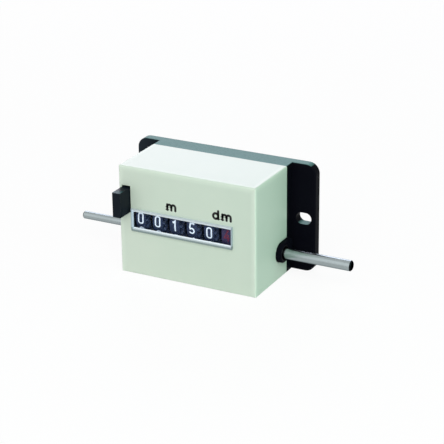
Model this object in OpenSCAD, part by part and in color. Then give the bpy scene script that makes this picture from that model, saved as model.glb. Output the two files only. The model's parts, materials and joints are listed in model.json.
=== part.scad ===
// Mechanical metre counter with six number wheels, a drive shaft that is
// long at both sides and a reset key at the front.
// +X is to the right, +Y to the back and +Z up. The origin lies on the back
// face of the base, midway between the two mounting slots.

/* [Housing] */
// Thickness of the housing's walls
wall_t = 1.8; // [1.4:0.1:2]
// Rounding of the housing's outer edges
edge_r = 0.5; // [0.3:0.1:1]
// Skin of the housing's side beside the key
key_skin = 1.15; // [0.9:0.05:1.4]
// Radius of the screw bosses
boss_r = 2.3; // [2:0.1:2.6]

/* [Window] */
// Height of the window's border
window_h = 8.6; // [8:0.1:9]
// How far the border stands proud of the housing
window_proud = 0.8; // [0.4:0.1:1.2]
// Width of the border's slope at the left and right
bevel_x = 0.95; // [0.6:0.05:1.1]
// Width of the border's slope at the top and bottom
bevel_z = 1.35; // [1:0.05:1.5]
// Room between the drums and the slopes at the left and right
window_margin = 0; // [0:0.05:1]

/* [Base] */
// Thickness of the ears
ear_t = 3.6; // [3:0.1:4.5]
// Length of each ear beyond the housing's side
ear_l = 9.3; // [8.6:0.1:14]
// Rounding of the ears' corners
ear_r = 4; // [2:0.5:6]
// Rounding of the ears' front edge
ear_edge_r = 0.5; // [0.2:0.1:1]
// Height of the platform that carries the housing
platform_t = 4.6; // [4:0.1:6]
// Distance of the middle of a mounting slot beyond the housing's side
slot_inset = 4.65; // [4:0.05:5]
// Length of a mounting slot, end to end
slot_l = 6.2; // [5.5:0.1:7]
// Width of a mounting slot
slot_w = 4.5; // [3.4:0.1:5]
// Height of the mounting slots above the underside
slot_z = 20.8; // [18:0.1:24]

/* [Shaft] */
// Diameter of the right end of the shaft
shaft_right_d = 4; // [3:0.1:4.6]
// Diameter of the left end of the shaft
shaft_left_d = 3; // [2:0.1:4.6]
// Length of each end of the shaft beyond the housing's side
shaft_out = 28.5; // [20:0.1:40]
// Diameter of the shaft between its two ends
journal_d = 5; // [4.8:0.1:5.6]
// Distance of the shaft in front of the platform
shaft_ahead = 5.4; // [4.8:0.1:6]
// Wall of the bushes round the shaft
bush_t = 0.7; // [0.5:0.05:1]
// Wall of the lugs round the bushes
lug_wall = 0.55; // [0.4:0.05:0.8]
// How far the lugs stand proud of the housing's sides
lug_proud = 2; // [1:0.1:3]

/* [Number wheels] */
// Diameter of the number drums
drum_d = 18.8; // [18.5:0.1:20]
// Width of one number drum
drum_w = 4.1; // [3.6:0.1:5]
// Width of the carry gear and of the carry ring of a wheel
carry_w = 0.9; // [0.8:0.05:1.2]
// Width of a reset hammer
hammer_w = 0.8; // [0.6:0.05:1.2]
// Height of the wheels' axle above the shaft
wheel_rise = 11.3; // [10:0.05:12]
// Diameter of the wheels' axle
axle_d = 2.5; // [2:0.1:2.8]

/* [Reset key] */
// Width of the key
key_w = 3.2; // [2.8:0.1:3.6]
// Height of the key
key_h = 9.5; // [8.6:0.1:10.4]
// Height of the key's lower face above the wheels' axle
key_rise = 2.65; // [2.4:0.05:2.9]
// How far the key stands out at rest
key_out = 7; // [5:0.1:9]
// How far the key can be pushed in
key_travel = 4; // [3:0.1:4.4]

/* [Hidden] */

$fn = 64;

// A cut reaches this far past the face that it opens.
past = 0.5;
// Clearance round a rod, on each side, for what turns on it.
run_gap = 0.03;
// Clearance between faces that slide or pass by each other.
slide_gap = 0.1;
// Clearance round what is fixed in its hole.
seat_gap = 0.02;
// Clearance beside a clip or at the end of a wheel's cam.
side_gap = 0.15;

// Digits that the window shows, the most significant first. Angles about an
// axis run from +Y towards +Z, and a wheel turns by one step for each digit.
digits = [0, 0, 1, 5, 0, 4];
wheel_count = 6;
digit_step = 36;

// Gears. The carry gears have one tooth size and the drive train another.
carry_module = 0.85;
carry_gear_teeth = 20;
carry_pinion_teeth = 8;
train_module = 0.6;
drive_teeth = 12;
idler_teeth = 16;
units_teeth = 24;
train_w = 1.6;
tooth_rise = 0.8;
tooth_fall = 1.1;
pressure_angle = 20;
backlash = 0.16;

// Places along the axle, from the middle of a drum.
hammer_gap = 0.19;
drum_half = drum_w / 2;
wheel_pitch = drum_w + 2 * carry_w + hammer_w + 2 * hammer_gap;
gear_face = drum_half + carry_w;
ring_face = wheel_pitch - drum_half - carry_w;
heart_end = ring_face - side_gap;
hub_start = heart_end + slide_gap - wheel_pitch;
train_start = heart_end + slide_gap;

// The frame's side plates stand at each side of the wheels and the gears.
plate_t = 1.2;
left_room = 0.33;
right_room = 0.74;
wheels_w = wheel_pitch * (wheel_count - 1);
plate_in_x = (left_room + drum_half + wheels_w + train_start + train_w + right_room) / 2;
plate_out_x = plate_in_x + plate_t;
last_wheel_x = left_room + drum_half + wheels_w - plate_in_x;
pack_x = last_wheel_x - wheels_w / 2;
train_x = last_wheel_x + train_start;

// The key runs between the left side plate and the housing's side.
key_right_x = -plate_out_x - slide_gap;
key_left_x = key_right_x - key_w;
key_mid_x = (key_left_x + key_right_x) / 2;
half_w = key_skin + slide_gap - key_left_x;
inner_x = half_w - wall_t;
slot_x = half_w + slot_inset;

// Bosses that take the cover screws stand in the housing's corners.
boss_sink = 0.4;
boss_reach = wall_t + 2 * boss_r - boss_sink;
boss_x = half_w - boss_reach + boss_r;

// Shaft, bushes and rings. Places across the shaft are [y, z].
plate_rim = 0.6;
room_below = 0.95;
shaft_hole_gap = 0.3;
bottom_z = -slot_z;
platform_y = -(ear_t + platform_t);
plate_low_z = bottom_z + boss_reach + room_below;
shaft_at = [platform_y - shaft_ahead, plate_low_z + plate_rim + journal_d / 2 + shaft_hole_gap];
bush_r = journal_d / 2 + bush_t;
lug_r = bush_r + lug_wall;
lug_x = half_w + lug_proud;
lug_in_x = plate_out_x + slide_gap;
lug_chamfer = 0.4;
tip_x = half_w + shaft_out;
tip_chamfer = 0.4;
journal_proud = 0.2;
journal_x = lug_x + journal_proud;
clip_t = 0.5;
clip_x = plate_in_x - side_gap - clip_t;
clip_depth = 0.35;
clip_mouth = 0.8;
clip_rim = 1.2;
shaft_clip_r = journal_d / 2 + clip_rim;

// Bail with the carry pinions above its rod and the reset hammers below it.
// Its tube clears the platform, which places the wheels.
rod_d = 2;
bail_tube_r = 2;
bail_room = 0.8;
bail_reach = 7;
bail_swing = 14;
bail_arm_t = 1.2;
bail_arm_r = 1.9;
bail_end_x = plate_in_x - 2 * side_gap;
pinion_angle = 60;
carry_centre = carry_module * (carry_gear_teeth + carry_pinion_teeth) / 2;
pinion_tip_r = carry_module * (carry_pinion_teeth / 2 + tooth_rise);
wheel_to_pinion = carry_centre * [cos(pinion_angle), sin(pinion_angle)];
pinion_to_bail = bail_reach * [sin(pinion_angle), -cos(pinion_angle)];
bail_y = platform_y - bail_room - bail_tube_r;
wheel_at = [bail_y - wheel_to_pinion[0] - pinion_to_bail[0], shaft_at[1] + wheel_rise];
pinion_at = wheel_at + wheel_to_pinion;
bail_at = pinion_at + pinion_to_bail;
lifted_at = turned(pinion_at, bail_at, -bail_swing);

// At rest a hammer's face points along a tangent to a circle about the axle.
hammer_t = 2;
hammer_tip = 1.6;
hammer_rest_r = 7.5;
bail_offset = bail_at - wheel_at;
hammer_angle = atan2(bail_offset[1], bail_offset[0]) - acos(hammer_rest_r / norm(bail_offset));
hammer_at = wheel_at + hammer_rest_r * [cos(hammer_angle), sin(hammer_angle)];

// Hub, rim and heart cam of a number wheel.
hub_r = 2.4;
collar_r = 2;
rim_t = 2.2;
web_t = 1.1;
ring_hole_r = 5.6;
heart_low_r = 1.9;
heart_high_r = 4.2;
heart_points = 36;
axle_clip_r = axle_d / 2 + clip_rim;
axle_head_r = 1.9;
axle_head_t = 0.5;
axle_end_x = plate_out_x + 2 * clip_t + 4 * slide_gap;

// Idler between the shaft's gear and the units gear, where their circles meet.
shaft_to_idler = train_module * (drive_teeth + idler_teeth) / 2;
wheel_to_idler = train_module * (units_teeth + idler_teeth) / 2;
shaft_offset = shaft_at - wheel_at;
shaft_reach = norm(shaft_offset);
idler_turn = acos((shaft_reach ^ 2 + wheel_to_idler ^ 2 - shaft_to_idler ^ 2)
    / (2 * shaft_reach * wheel_to_idler));
idler_angle = atan2(shaft_offset[1], shaft_offset[0]) - idler_turn;
idler_at = wheel_at + wheel_to_idler * [cos(idler_angle), sin(idler_angle)];
idler_to_shaft = shaft_at - idler_at;
shaft_angle = atan2(idler_to_shaft[1], idler_to_shaft[0]);
stud_head_r = 1.7;
stud_head_t = 0.5;

// Window, as wide as the drums and in front of them.
window_w = wheels_w + drum_w + 2 * (window_margin + bevel_x);
window_lift = 0.05;
window_mid_z = wheel_at[1] + window_lift;
window_rim = 0.15;
window_seat = 0.5;
window_relief = 0.3;
pane_front = 0.1;
pane_back = 0.8;
pane_gap = 0.3;
front_y = wheel_at[0] - drum_d / 2 - pane_gap - pane_back;
inner_front_y = front_y + wall_t;
housing_d = platform_y - front_y;

// Reset key.
key_low_z = wheel_at[1] + key_rise;
key_high_z = key_low_z + key_h;
key_side_gap = 0.3;
key_top_gap = 0.7;
key_under_gap = 0.15;
key_stop_h = 0.9;
key_stop_t = 1.6;

// The ramp on the key lifts the end of the pinion axle while the key goes in.
follower_gap = 0.25;
follower_w = 1.6;
ramp_tail = 0.6;
ramp_run = lifted_at - [key_travel, 0] - pinion_at;
ramp_dir = ramp_run / norm(ramp_run);
ramp_at = pinion_at + (rod_d / 2 + follower_gap) * [-ramp_dir[1], ramp_dir[0]];
ramp_slope = ramp_dir[1] / ramp_dir[0];
key_back_y = pinion_at[0] + rod_d / 2 + ramp_tail;
key_back_z = ramp_at[1] + ramp_slope * (key_back_y - ramp_at[0]);
ramp_top_y = ramp_at[0] + (key_high_z - ramp_at[1]) / ramp_slope;
pinion_axle_x = key_right_x - follower_w;
axle_slot_gap = 0.35;

// Spring behind the key, round a stem that slides in the base.
stem_r = 0.6;
stem_in = 1;
stem_gap = 0.15;
stem_room = 0.6;
stem_hole_y = platform_y + stem_in + key_travel + stem_room;
spring_rise = 2.6;
spring_z = key_low_z + spring_rise;
spring_r = 1.15;
spring_wire_r = 0.17;
spring_turns = 6;
spring_steps = 12;
spring_sides = 6;

// Outline and feet of the side plates.
plate_r = 2.5;
plate_nose = 5;
plate_front_y = wheel_at[0] - plate_nose;
plate_high_z = lifted_at[1] + rod_d / 2 + axle_slot_gap + plate_rim;
foot_l = 5.5;
foot_gap = 0.6;
foot_room = 1.85;
foot_low_z = shaft_at[1] + shaft_clip_r + foot_gap;
foot_high_z = bail_at[1] - bail_tube_r - foot_room;

// Height of the housing and of the base, with the bosses above the frame and the key.
room_above = 0.73;
top_z = max(plate_high_z, key_high_z + key_top_gap) + room_above + boss_reach;
housing_h = top_z - bottom_z;
boss_z = [bottom_z + boss_reach - boss_r, top_z - boss_reach + boss_r];

// Screws.
cover_screw_r = 1.1;
cover_screw_in = 9;
cover_head_r = 2.1;
cover_head_t = 1.2;
counterbore = 3.6;
frame_screw_r = 1;
frame_screw_in = 3.6;
frame_head_r = 1.8;
frame_head_t = 1.1;
foot_rim = 0.4;
bend_room = 0.3;
frame_screw_x = plate_in_x - foot_l / 2 - bend_room;
frame_screw_z = [foot_low_z + frame_head_r + foot_rim, foot_high_z - frame_head_r - foot_rim];

// Grid of pockets in the back of the base, with ribs between them.
core_floor = 2.8;
core_side = 3.15;
core_out_x = frame_screw_x - frame_screw_r - core_side;
core_rib = 1.6;
core_edge = 3;
core_columns = 4;
core_rows = 4;

// Point p turned by the angle a about another point, all as [y, z].
function turned(p, about, a) = about
    + [cos(a) * (p[0] - about[0]) - sin(a) * (p[1] - about[1]),
       sin(a) * (p[0] - about[0]) + cos(a) * (p[1] - about[1])];
// Point at radius r and angle a.
function polar(r, a) = r * [cos(a), sin(a)];
// Middle of a number drum, counted from 1 at the left.
function wheel_x(n) = last_wheel_x - wheel_pitch * (wheel_count - n);
// Turn of a wheel from its zero to the digit that the window shows.
function wheel_turn(n) = digit_step * digits[n - 1];
// Involute function, in degrees.
function involute(a) = tan(a) * 180 / PI - a;
// Half the angle that a tooth covers at radius r.
function half_tooth(m, teeth, r) =
    let (pitch_r = m * teeth / 2, base_r = pitch_r * cos(pressure_angle))
    (PI * m / 2 - backlash) / 2 / pitch_r * 180 / PI + involute(pressure_angle)
        - involute(acos(min(1, base_r / r)));
// Angle of a tooth on the gear that a second one at angle a from it meshes with,
// when the second gear's partner has a tooth at the angle phase.
function mesh_phase(a, teeth, phase, next_teeth) =
    a + 180 - ((phase - a) * teeth + 180) / next_teeth;

carry_phase = 0;
carry_pinion_phase = mesh_phase(pinion_angle, carry_gear_teeth, carry_phase, carry_pinion_teeth);
units_phase = 0;
idler_phase = mesh_phase(idler_angle, units_teeth, units_phase, idler_teeth);
drive_phase = mesh_phase(shaft_angle, idler_teeth, idler_phase, drive_teeth);

// Puts a section, drawn as [y, z] and extruded from 0, at x.
module along_x(x) {
    translate([x, 0, 0]) rotate([90, 0, 90]) children();
}

// Round bar from x0 to x1 about the axis at [y, z].
module bar_x(x0, x1, at, r) {
    translate([x0, at[0], at[1]]) rotate([0, 90, 0]) cylinder(h = x1 - x0, r = r);
}

// Solid of revolution about the axis at [y, z], from points [radius, x].
module turned_x(at, points) {
    translate([0, at[0], at[1]]) rotate([0, 90, 0]) rotate([0, 0, 90])
        rotate_extrude() polygon(points);
}

// Round bar from y0 to y1 at x and z.
module bar_y(y0, y1, x, z, r) {
    translate([x, y1, z]) rotate([90, 0, 0]) cylinder(h = y1 - y0, r = r);
}

// Box from one corner to the opposite one.
module block(low, high) {
    translate(low) cube(high - low);
}

// Rectangle with round corners, from one corner to the opposite one.
module round_rect(low, high, r) {
    size = high - low;
    translate(low + [r, 0]) square([size[0] - 2 * r, size[1]]);
    translate(low + [0, r]) square([size[0], size[1] - 2 * r]);
    for (x = [low[0] + r, high[0] - r], y = [low[1] + r, high[1] - r])
        translate([x, y]) circle(r = r);
}

// Section of a plate's edge: from a to b and as high as t, with the two high corners rounded.
module rounded_section(a, b, t, r) {
    translate([a, 0]) square([b - a, t - r]);
    translate([a + r, 0]) square([b - a - 2 * r, t]);
    for (u = [a + r, b - r]) translate([u, t - r]) circle(r = r);
}

// Plate from the plane y = 0 to y = -t, its corners rounded by r and its front edge by e.
module round_plate(low, high, t, r, e) {
    span = high - low;
    translate([low[0] + r, 0, 0]) rotate([90, 0, 90]) linear_extrude(span[0] - 2 * r)
        rotate(90) rounded_section(low[1], high[1], t, e);
    translate([0, 0, low[1] + r]) linear_extrude(span[1] - 2 * r)
        mirror([0, 1]) rounded_section(low[0], high[0], t, e);
    for (x = [low[0] + r, high[0] - r], z = [low[1] + r, high[1] - r])
        translate([x, 0, z]) rotate([90, 0, 0]) rotate_extrude() intersection() {
            rounded_section(-r, r, t, e);
            square([r, t]);
        }
}

// Stadium of radius r between two points.
module stadium(a, b, r) {
    run = b - a;
    translate(a) circle(r = r);
    translate(b) circle(r = r);
    translate(a) rotate(atan2(run[1], run[0])) translate([0, -r]) square([norm(run), 2 * r]);
}

// Outline of a spur gear with one tooth at the angle phase.
module gear_outline(m, teeth, phase) {
    pitch_r = m * teeth / 2;
    tip_r = pitch_r + tooth_rise * m;
    root_r = pitch_r - tooth_fall * m;
    foot_r = max(root_r, pitch_r * cos(pressure_angle));
    at_foot = half_tooth(m, teeth, foot_r);
    at_pitch = half_tooth(m, teeth, pitch_r);
    at_tip = half_tooth(m, teeth, tip_r);
    polygon([for (k = [0 : teeth - 1]) let (a = phase + k * 360 / teeth) each [
        polar(root_r, a - at_foot), polar(pitch_r, a - at_pitch), polar(tip_r, a - at_tip),
        polar(tip_r, a + at_tip), polar(pitch_r, a + at_pitch), polar(root_r, a + at_foot)]]);
}

// Spur gear on a bore, from x towards +X.
module spur_gear(x, at, m, teeth, phase, w, bore_r) {
    translate([0, at[0], at[1]]) along_x(x) linear_extrude(w) difference() {
        gear_outline(m, teeth, phase);
        circle(r = bore_r);
    }
}

// Heart-shaped cam outline, lowest at the angle low.
module heart_outline(low) {
    polygon([for (k = [0 : heart_points - 1]) let (a = k * 360 / heart_points - 180)
        polar(heart_low_r + (heart_high_r - heart_low_r) * abs(a) / 180, low + a)]);
}

// Ring with two teeth that moves the next wheel on, teeth at each side of the angle a.
module carry_ring_outline(a) {
    lock_r = carry_centre - pinion_tip_r - slide_gap;
    tooth_step = 360 / carry_gear_teeth;
    difference() {
        union() {
            circle(r = lock_r);
            intersection() {
                gear_outline(carry_module, carry_gear_teeth, a + tooth_step / 2);
                polygon([[0, 0], polar(drum_d, a - tooth_step), polar(drum_d, a + tooth_step)]);
            }
        }
        circle(r = ring_hole_r);
    }
}

// Housing: a moulded cover, open at the back, with a boss in each corner. Its window is
// wider behind the pane, where the drums reach in.
module housing() {
    color([0.80, 0.85, 0.80]) difference() {
        union() {
            difference() {
                housing_block();
                block([-inner_x, inner_front_y, bottom_z + wall_t],
                    [inner_x, platform_y + past, top_z - wall_t]);
            }
            for (side = [-1, 1], z = boss_z)
                bar_y(inner_front_y - past, platform_y, side * boss_x, z, boss_r);
        }
        for (side = [-1, 1], z = boss_z)
            bar_y(platform_y - cover_screw_in - 1, platform_y + past, side * boss_x, z,
                cover_screw_r + seat_gap);
        window_block(front_y - past, inner_front_y + past, window_seat - seat_gap);
        window_block(front_y + pane_back, inner_front_y + past, window_relief);
        key_passage();
        for (side = [0, 1]) mirror([side, 0, 0]) lug_passage();
    }
}

// The housing's outer form, rounded everywhere but at the back.
module housing_block() {
    intersection() {
        translate([0, platform_y, 0]) rotate([90, 0, 0]) linear_extrude(housing_d)
            round_rect([-half_w, bottom_z], [half_w, top_z], edge_r);
        along_x(-half_w) linear_extrude(2 * half_w)
            round_rect([front_y, bottom_z], [platform_y + 3 * edge_r, top_z], edge_r);
        translate([0, 0, bottom_z]) linear_extrude(housing_h)
            round_rect([-half_w, front_y], [half_w, platform_y + 3 * edge_r], edge_r);
    }
}

// Block as large as the window's border, or smaller by inset on each side.
module window_block(y0, y1, inset) {
    half = [window_w / 2 - inset, window_h / 2 - inset];
    block([pack_x - half[0], y0, window_mid_z - half[1]],
        [pack_x + half[0], y1, window_mid_z + half[1]]);
}

// Slot in the front for the key, and the groove in the side wall that it runs in.
module key_passage() {
    left_x = key_left_x - slide_gap;
    low_z = key_low_z - key_under_gap;
    high_z = key_high_z + key_top_gap;
    block([left_x, front_y - past, low_z], [key_right_x + key_side_gap, inner_front_y + past, high_z]);
    block([left_x, inner_front_y, low_z - key_stop_h], [-inner_x + past, platform_y + past, high_z]);
}

// Slot in the side wall for a bearing lug, open at the back.
module lug_passage() {
    r = lug_r + key_under_gap;
    along_x(inner_x - past) linear_extrude(wall_t + 2 * past) {
        translate(shaft_at) circle(r = r);
        translate(shaft_at - [0, r]) square([platform_y + past - shaft_at[0], 2 * r]);
    }
}

// Window: a clear pane in a border that slopes down to it on all four sides.
module window_lens() {
    rim_y = front_y - window_proud;
    floor_y = front_y + pane_front;
    rim_half = [window_w / 2 - window_rim, window_h / 2 - window_rim];
    pane_half = [window_w / 2 - bevel_x, window_h / 2 - bevel_z];
    color([0.80, 0.87, 0.95, 0.6]) difference() {
        union() {
            window_block(rim_y, front_y, 0);
            window_block(front_y - past, front_y + pane_back, window_seat);
        }
        intersection() {
            translate([pack_x, 0, window_mid_z - window_h]) linear_extrude(2 * window_h)
                slope_section(rim_half[0], pane_half[0], rim_y, floor_y);
            along_x(pack_x - window_w) linear_extrude(2 * window_w)
                translate([0, window_mid_z]) rotate(-90) mirror([1, 0])
                    slope_section(rim_half[1], pane_half[1], rim_y, floor_y);
        }
    }
}

// Section that narrows from half width a at y0 to half width b at y1.
module slope_section(a, b, y0, y1) {
    flare = (a - b) / (y1 - y0) * past;
    polygon([[-a - flare, y0 - past], [a + flare, y0 - past], [b, y1], [-b, y1]]);
}

// Base: ears and platform in one moulding, with a bearing lug at each side.
module base_plate() {
    color([0.07, 0.07, 0.08]) difference() {
        union() {
            round_plate([-half_w - ear_l, bottom_z], [half_w + ear_l, top_z], ear_t, ear_r, ear_edge_r);
            translate([0, -ear_t / 2, 0]) rotate([90, 0, 0]) linear_extrude(platform_t + ear_t / 2)
                round_rect([-half_w, bottom_z], [half_w, top_z], edge_r);
            for (side = [0, 1]) mirror([side, 0, 0]) bearing_lug();
        }
        for (side = [-1, 1]) mounting_slot(side * slot_x);
        for (side = [-1, 1]) bar_x(side > 0 ? lug_in_x - past : -lug_x - past,
            side > 0 ? lug_x + past : -lug_in_x + past, shaft_at, bush_r + seat_gap);
        for (side = [-1, 1], z = boss_z) {
            bar_y(platform_y - past, past, side * boss_x, z, cover_screw_r + slide_gap);
            bar_y(-counterbore, past, side * boss_x, z, cover_head_r + slide_gap);
        }
        for (side = [-1, 1], z = frame_screw_z)
            bar_y(platform_y - past, platform_y + frame_screw_in + past, side * frame_screw_x, z,
                frame_screw_r + seat_gap);
        bar_y(platform_y - past, stem_hole_y, key_mid_x, spring_z, stem_r + stem_gap);
        back_pockets();
    }
}

// Lug with a round, chamfered nose that reaches out through the housing's side.
module bearing_lug() {
    r = lug_r;
    c = lug_chamfer;
    intersection() {
        turned_x(shaft_at, [[0, lug_in_x], [r, lug_in_x], [r, lug_x - c], [r - c, lug_x], [0, lug_x]]);
        block([lug_in_x - past, shaft_at[0] - r - past, shaft_at[1] - r - past],
            [lug_x + past, shaft_at[0], shaft_at[1] + r + past]);
    }
    translate([0, platform_y + past, shaft_at[1]]) rotate([90, 0, 0])
        linear_extrude(platform_y + past - shaft_at[0])
            polygon([[lug_in_x, -r], [lug_x - c, -r], [lug_x, c - r],
                [lug_x, r - c], [lug_x - c, r], [lug_in_x, r]]);
}

// Slot through an ear, lying along X.
module mounting_slot(x) {
    r = slot_w / 2;
    run = slot_l / 2 - r;
    translate([x, past, 0]) rotate([90, 0, 0]) linear_extrude(ear_t + 2 * past)
        stadium([-run, 0], [run, 0], r);
}

// Pockets in the back of the base, which keep its wall even.
module back_pockets() {
    low = [-core_out_x, bottom_z + core_edge];
    pitch_x = (2 * core_out_x + core_rib) / core_columns;
    pitch_z = (housing_h - 2 * core_edge + core_rib) / core_rows;
    for (i = [0 : core_columns - 1], j = [0 : core_rows - 1]) {
        x = low[0] + i * pitch_x;
        z = low[1] + j * pitch_z;
        block([x, platform_y + core_floor, z], [x + pitch_x - core_rib, past, z + pitch_z - core_rib]);
    }
}

module left_bush() {
    bush(-1);
}

module right_bush() {
    bush(1);
}

// Bush for the shaft, flush with both faces of its lug.
module bush(side) {
    color([0.10, 0.10, 0.11]) mirror([side < 0 ? 1 : 0, 0, 0]) difference() {
        bar_x(lug_in_x, lug_x, shaft_at, bush_r);
        bar_x(lug_in_x - past, lug_x + past, shaft_at, journal_d / 2 + run_gap);
    }
}

module left_side_plate() {
    color([0.70, 0.71, 0.72]) mirror([1, 0, 0]) side_plate(-1);
}

module right_side_plate() {
    color([0.70, 0.71, 0.72]) side_plate(1);
}

// Bent sheet side of the frame, with a foot that is screwed to the platform.
module side_plate(side) {
    difference() {
        union() {
            along_x(plate_in_x) linear_extrude(plate_t) plate_outline();
            block([plate_in_x - foot_l, platform_y - plate_t, foot_low_z],
                [plate_in_x + plate_t / 2, platform_y, foot_high_z]);
        }
        plate_hole(shaft_at, journal_d / 2 + shaft_hole_gap);
        plate_hole(wheel_at, axle_d / 2 + seat_gap);
        plate_hole(bail_at, rod_d / 2 + seat_gap);
        if (side > 0) plate_hole(idler_at, rod_d / 2 + seat_gap);
        if (side < 0) along_x(plate_in_x - past) linear_extrude(plate_t + 2 * past)
            stadium(pinion_at, lifted_at, rod_d / 2 + axle_slot_gap);
        for (z = frame_screw_z)
            bar_y(platform_y - plate_t - past, platform_y + past, frame_screw_x, z,
                frame_screw_r + slide_gap);
    }
}

// Outline of a side plate, round at its two front corners.
module plate_outline() {
    intersection() {
        round_rect([plate_front_y, plate_low_z], [platform_y + 3 * plate_r, plate_high_z], plate_r);
        translate([plate_front_y, plate_low_z])
            square([platform_y - plate_front_y, plate_high_z - plate_low_z]);
    }
}

// Hole through a side plate.
module plate_hole(at, r) {
    bar_x(plate_in_x - past, plate_out_x + past, at, r);
}

// Axle of the number wheels, headed at the left and grooved for a clip at the right.
module wheel_axle() {
    r = axle_d / 2;
    groove_x = plate_out_x + slide_gap / 2;
    color([0.72, 0.73, 0.75]) difference() {
        union() {
            bar_x(-plate_out_x, axle_end_x, wheel_at, r);
            bar_x(-plate_out_x - axle_head_t, -plate_out_x, wheel_at, axle_head_r);
        }
        ring_cut(groove_x, clip_t + slide_gap / 2, wheel_at, r - clip_depth, r + past);
    }
}

// Ring-shaped cut from x towards +X.
module ring_cut(x, w, at, r_in, r_out) {
    turned_x(at, [[r_in, x], [r_out, x], [r_out, x + w], [r_in, x + w]]);
}

module axle_clip() {
    color([0.45, 0.45, 0.47])
        open_ring(plate_out_x + slide_gap / 2, wheel_at, axle_d / 2 - clip_depth, axle_clip_r, 90);
}

// Open retaining ring from x towards +X, its mouth at the angle a.
module open_ring(x, at, r_in, r_out, a) {
    translate([0, at[0], at[1]]) along_x(x) linear_extrude(clip_t) difference() {
        circle(r = r_out);
        circle(r = r_in + seat_gap);
        rotate(a) translate([0, -r_in * clip_mouth]) square([r_out + past, 2 * r_in * clip_mouth]);
    }
}

// Shaft with thinner ends outside the lugs and a groove for a ring inside each side plate.
module drive_shaft() {
    c = tip_chamfer;
    right_r = shaft_right_d / 2;
    left_r = shaft_left_d / 2;
    r = journal_d / 2;
    groove_r = r - clip_depth;
    color([0.62, 0.65, 0.66]) turned_x(shaft_at, [
        [0, -tip_x], [left_r - c, -tip_x], [left_r, c - tip_x], [left_r, -journal_x],
        [r, -journal_x], [r, -clip_x - clip_t - seat_gap], [groove_r, -clip_x - clip_t - seat_gap],
        [groove_r, seat_gap - clip_x], [r, seat_gap - clip_x],
        [r, clip_x - seat_gap], [groove_r, clip_x - seat_gap],
        [groove_r, clip_x + clip_t + seat_gap], [r, clip_x + clip_t + seat_gap], [r, journal_x],
        [right_r, journal_x], [right_r, tip_x - c], [right_r - c, tip_x], [0, tip_x]]);
}

module shaft_clips() {
    color([0.45, 0.45, 0.47]) for (x = [clip_x, -clip_x - clip_t])
        open_ring(x, shaft_at, journal_d / 2 - clip_depth, shaft_clip_r, -90);
}

module drive_gear() {
    color([0.80, 0.66, 0.35]) spur_gear(train_x, shaft_at, train_module, drive_teeth,
        drive_phase, train_w, journal_d / 2 + seat_gap);
}

module idler_gear() {
    color([0.90, 0.89, 0.84]) spur_gear(train_x, idler_at, train_module, idler_teeth,
        idler_phase, train_w, rod_d / 2 + run_gap);
}

// Stud of the idler: riveted in the side plate, with a collar and a head round the gear.
module idler_stud() {
    r = rod_d / 2;
    head_x = train_x - slide_gap;
    collar_x = train_x + train_w + slide_gap;
    color([0.72, 0.73, 0.75]) turned_x(idler_at, [
        [0, head_x - stud_head_t], [stud_head_r, head_x - stud_head_t], [stud_head_r, head_x],
        [r, head_x], [r, collar_x], [stud_head_r, collar_x], [stud_head_r, plate_in_x],
        [r, plate_in_x], [r, plate_out_x], [0, plate_out_x]]);
}

module units_gear() {
    color([0.90, 0.89, 0.84]) spur_gear(train_x, wheel_at, train_module, units_teeth,
        units_phase, train_w, collar_r + seat_gap);
}

module number_wheel_1() {
    number_wheel(1);
}

module number_wheel_2() {
    number_wheel(2);
}

module number_wheel_3() {
    number_wheel(3);
}

module number_wheel_4() {
    number_wheel(4);
}

module number_wheel_5() {
    number_wheel(5);
}

module number_wheel_6() {
    number_wheel(6);
}

// Number wheel: drum, carry gear at its right, carry ring at its left, heart cam on its hub.
// The first wheel has no carry ring, and the last has a collar in place of the carry gear.
module number_wheel(n) {
    x = wheel_x(n);
    first = n == 1;
    last = n == wheel_count;
    drum_r = drum_d / 2;
    rim_in = drum_r - rim_t;
    bore_r = axle_d / 2 + run_gap;
    hub_x = first ? slide_gap - plate_in_x : x + hub_start;
    color([0.13, 0.15, 0.25]) difference() {
        union() {
            turned_x(wheel_at, [[0, hub_x], [hub_r, hub_x], [hub_r, x - drum_half],
                [drum_r, x - drum_half], [drum_r, x + drum_half], [rim_in, x + drum_half],
                [rim_in, x - drum_half + web_t], [hub_r, x - drum_half + web_t],
                [hub_r, x + gear_face], [0, x + gear_face]]);
            if (!first) at_wheel(x - drum_half - carry_w) linear_extrude(carry_w + past)
                carry_ring_outline(pinion_angle + digit_step / 2 + wheel_turn(n));
            if (!last) at_wheel(x + drum_half - past) linear_extrude(carry_w + past) difference() {
                gear_outline(carry_module, carry_gear_teeth, carry_phase);
                circle(r = rim_in);
            }
            at_wheel(x + gear_face - past) linear_extrude(heart_end - gear_face + past)
                heart_outline(hammer_angle + wheel_turn(n));
            if (last) bar_x(x, plate_in_x - slide_gap, wheel_at, collar_r);
        }
        bar_x(hub_x - past, plate_in_x, wheel_at, bore_r);
    }
}

// Puts a section round the wheels' axle at x.
module at_wheel(x) {
    translate([0, wheel_at[0], wheel_at[1]]) along_x(x) children();
}

module carry_pinion_1() {
    carry_pinion(1);
}

module carry_pinion_2() {
    carry_pinion(2);
}

module carry_pinion_3() {
    carry_pinion(3);
}

module carry_pinion_4() {
    carry_pinion(4);
}

module carry_pinion_5() {
    carry_pinion(5);
}

// Pinion between wheels n and n + 1, in mesh with the carry gear of wheel n.
module carry_pinion(n) {
    start = wheel_x(n) + drum_half + slide_gap;
    color([0.88, 0.87, 0.82]) spur_gear(start, pinion_at, carry_module, carry_pinion_teeth,
        carry_pinion_phase, wheel_x(n) + ring_face - slide_gap - start, rod_d / 2 + run_gap);
}

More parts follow.
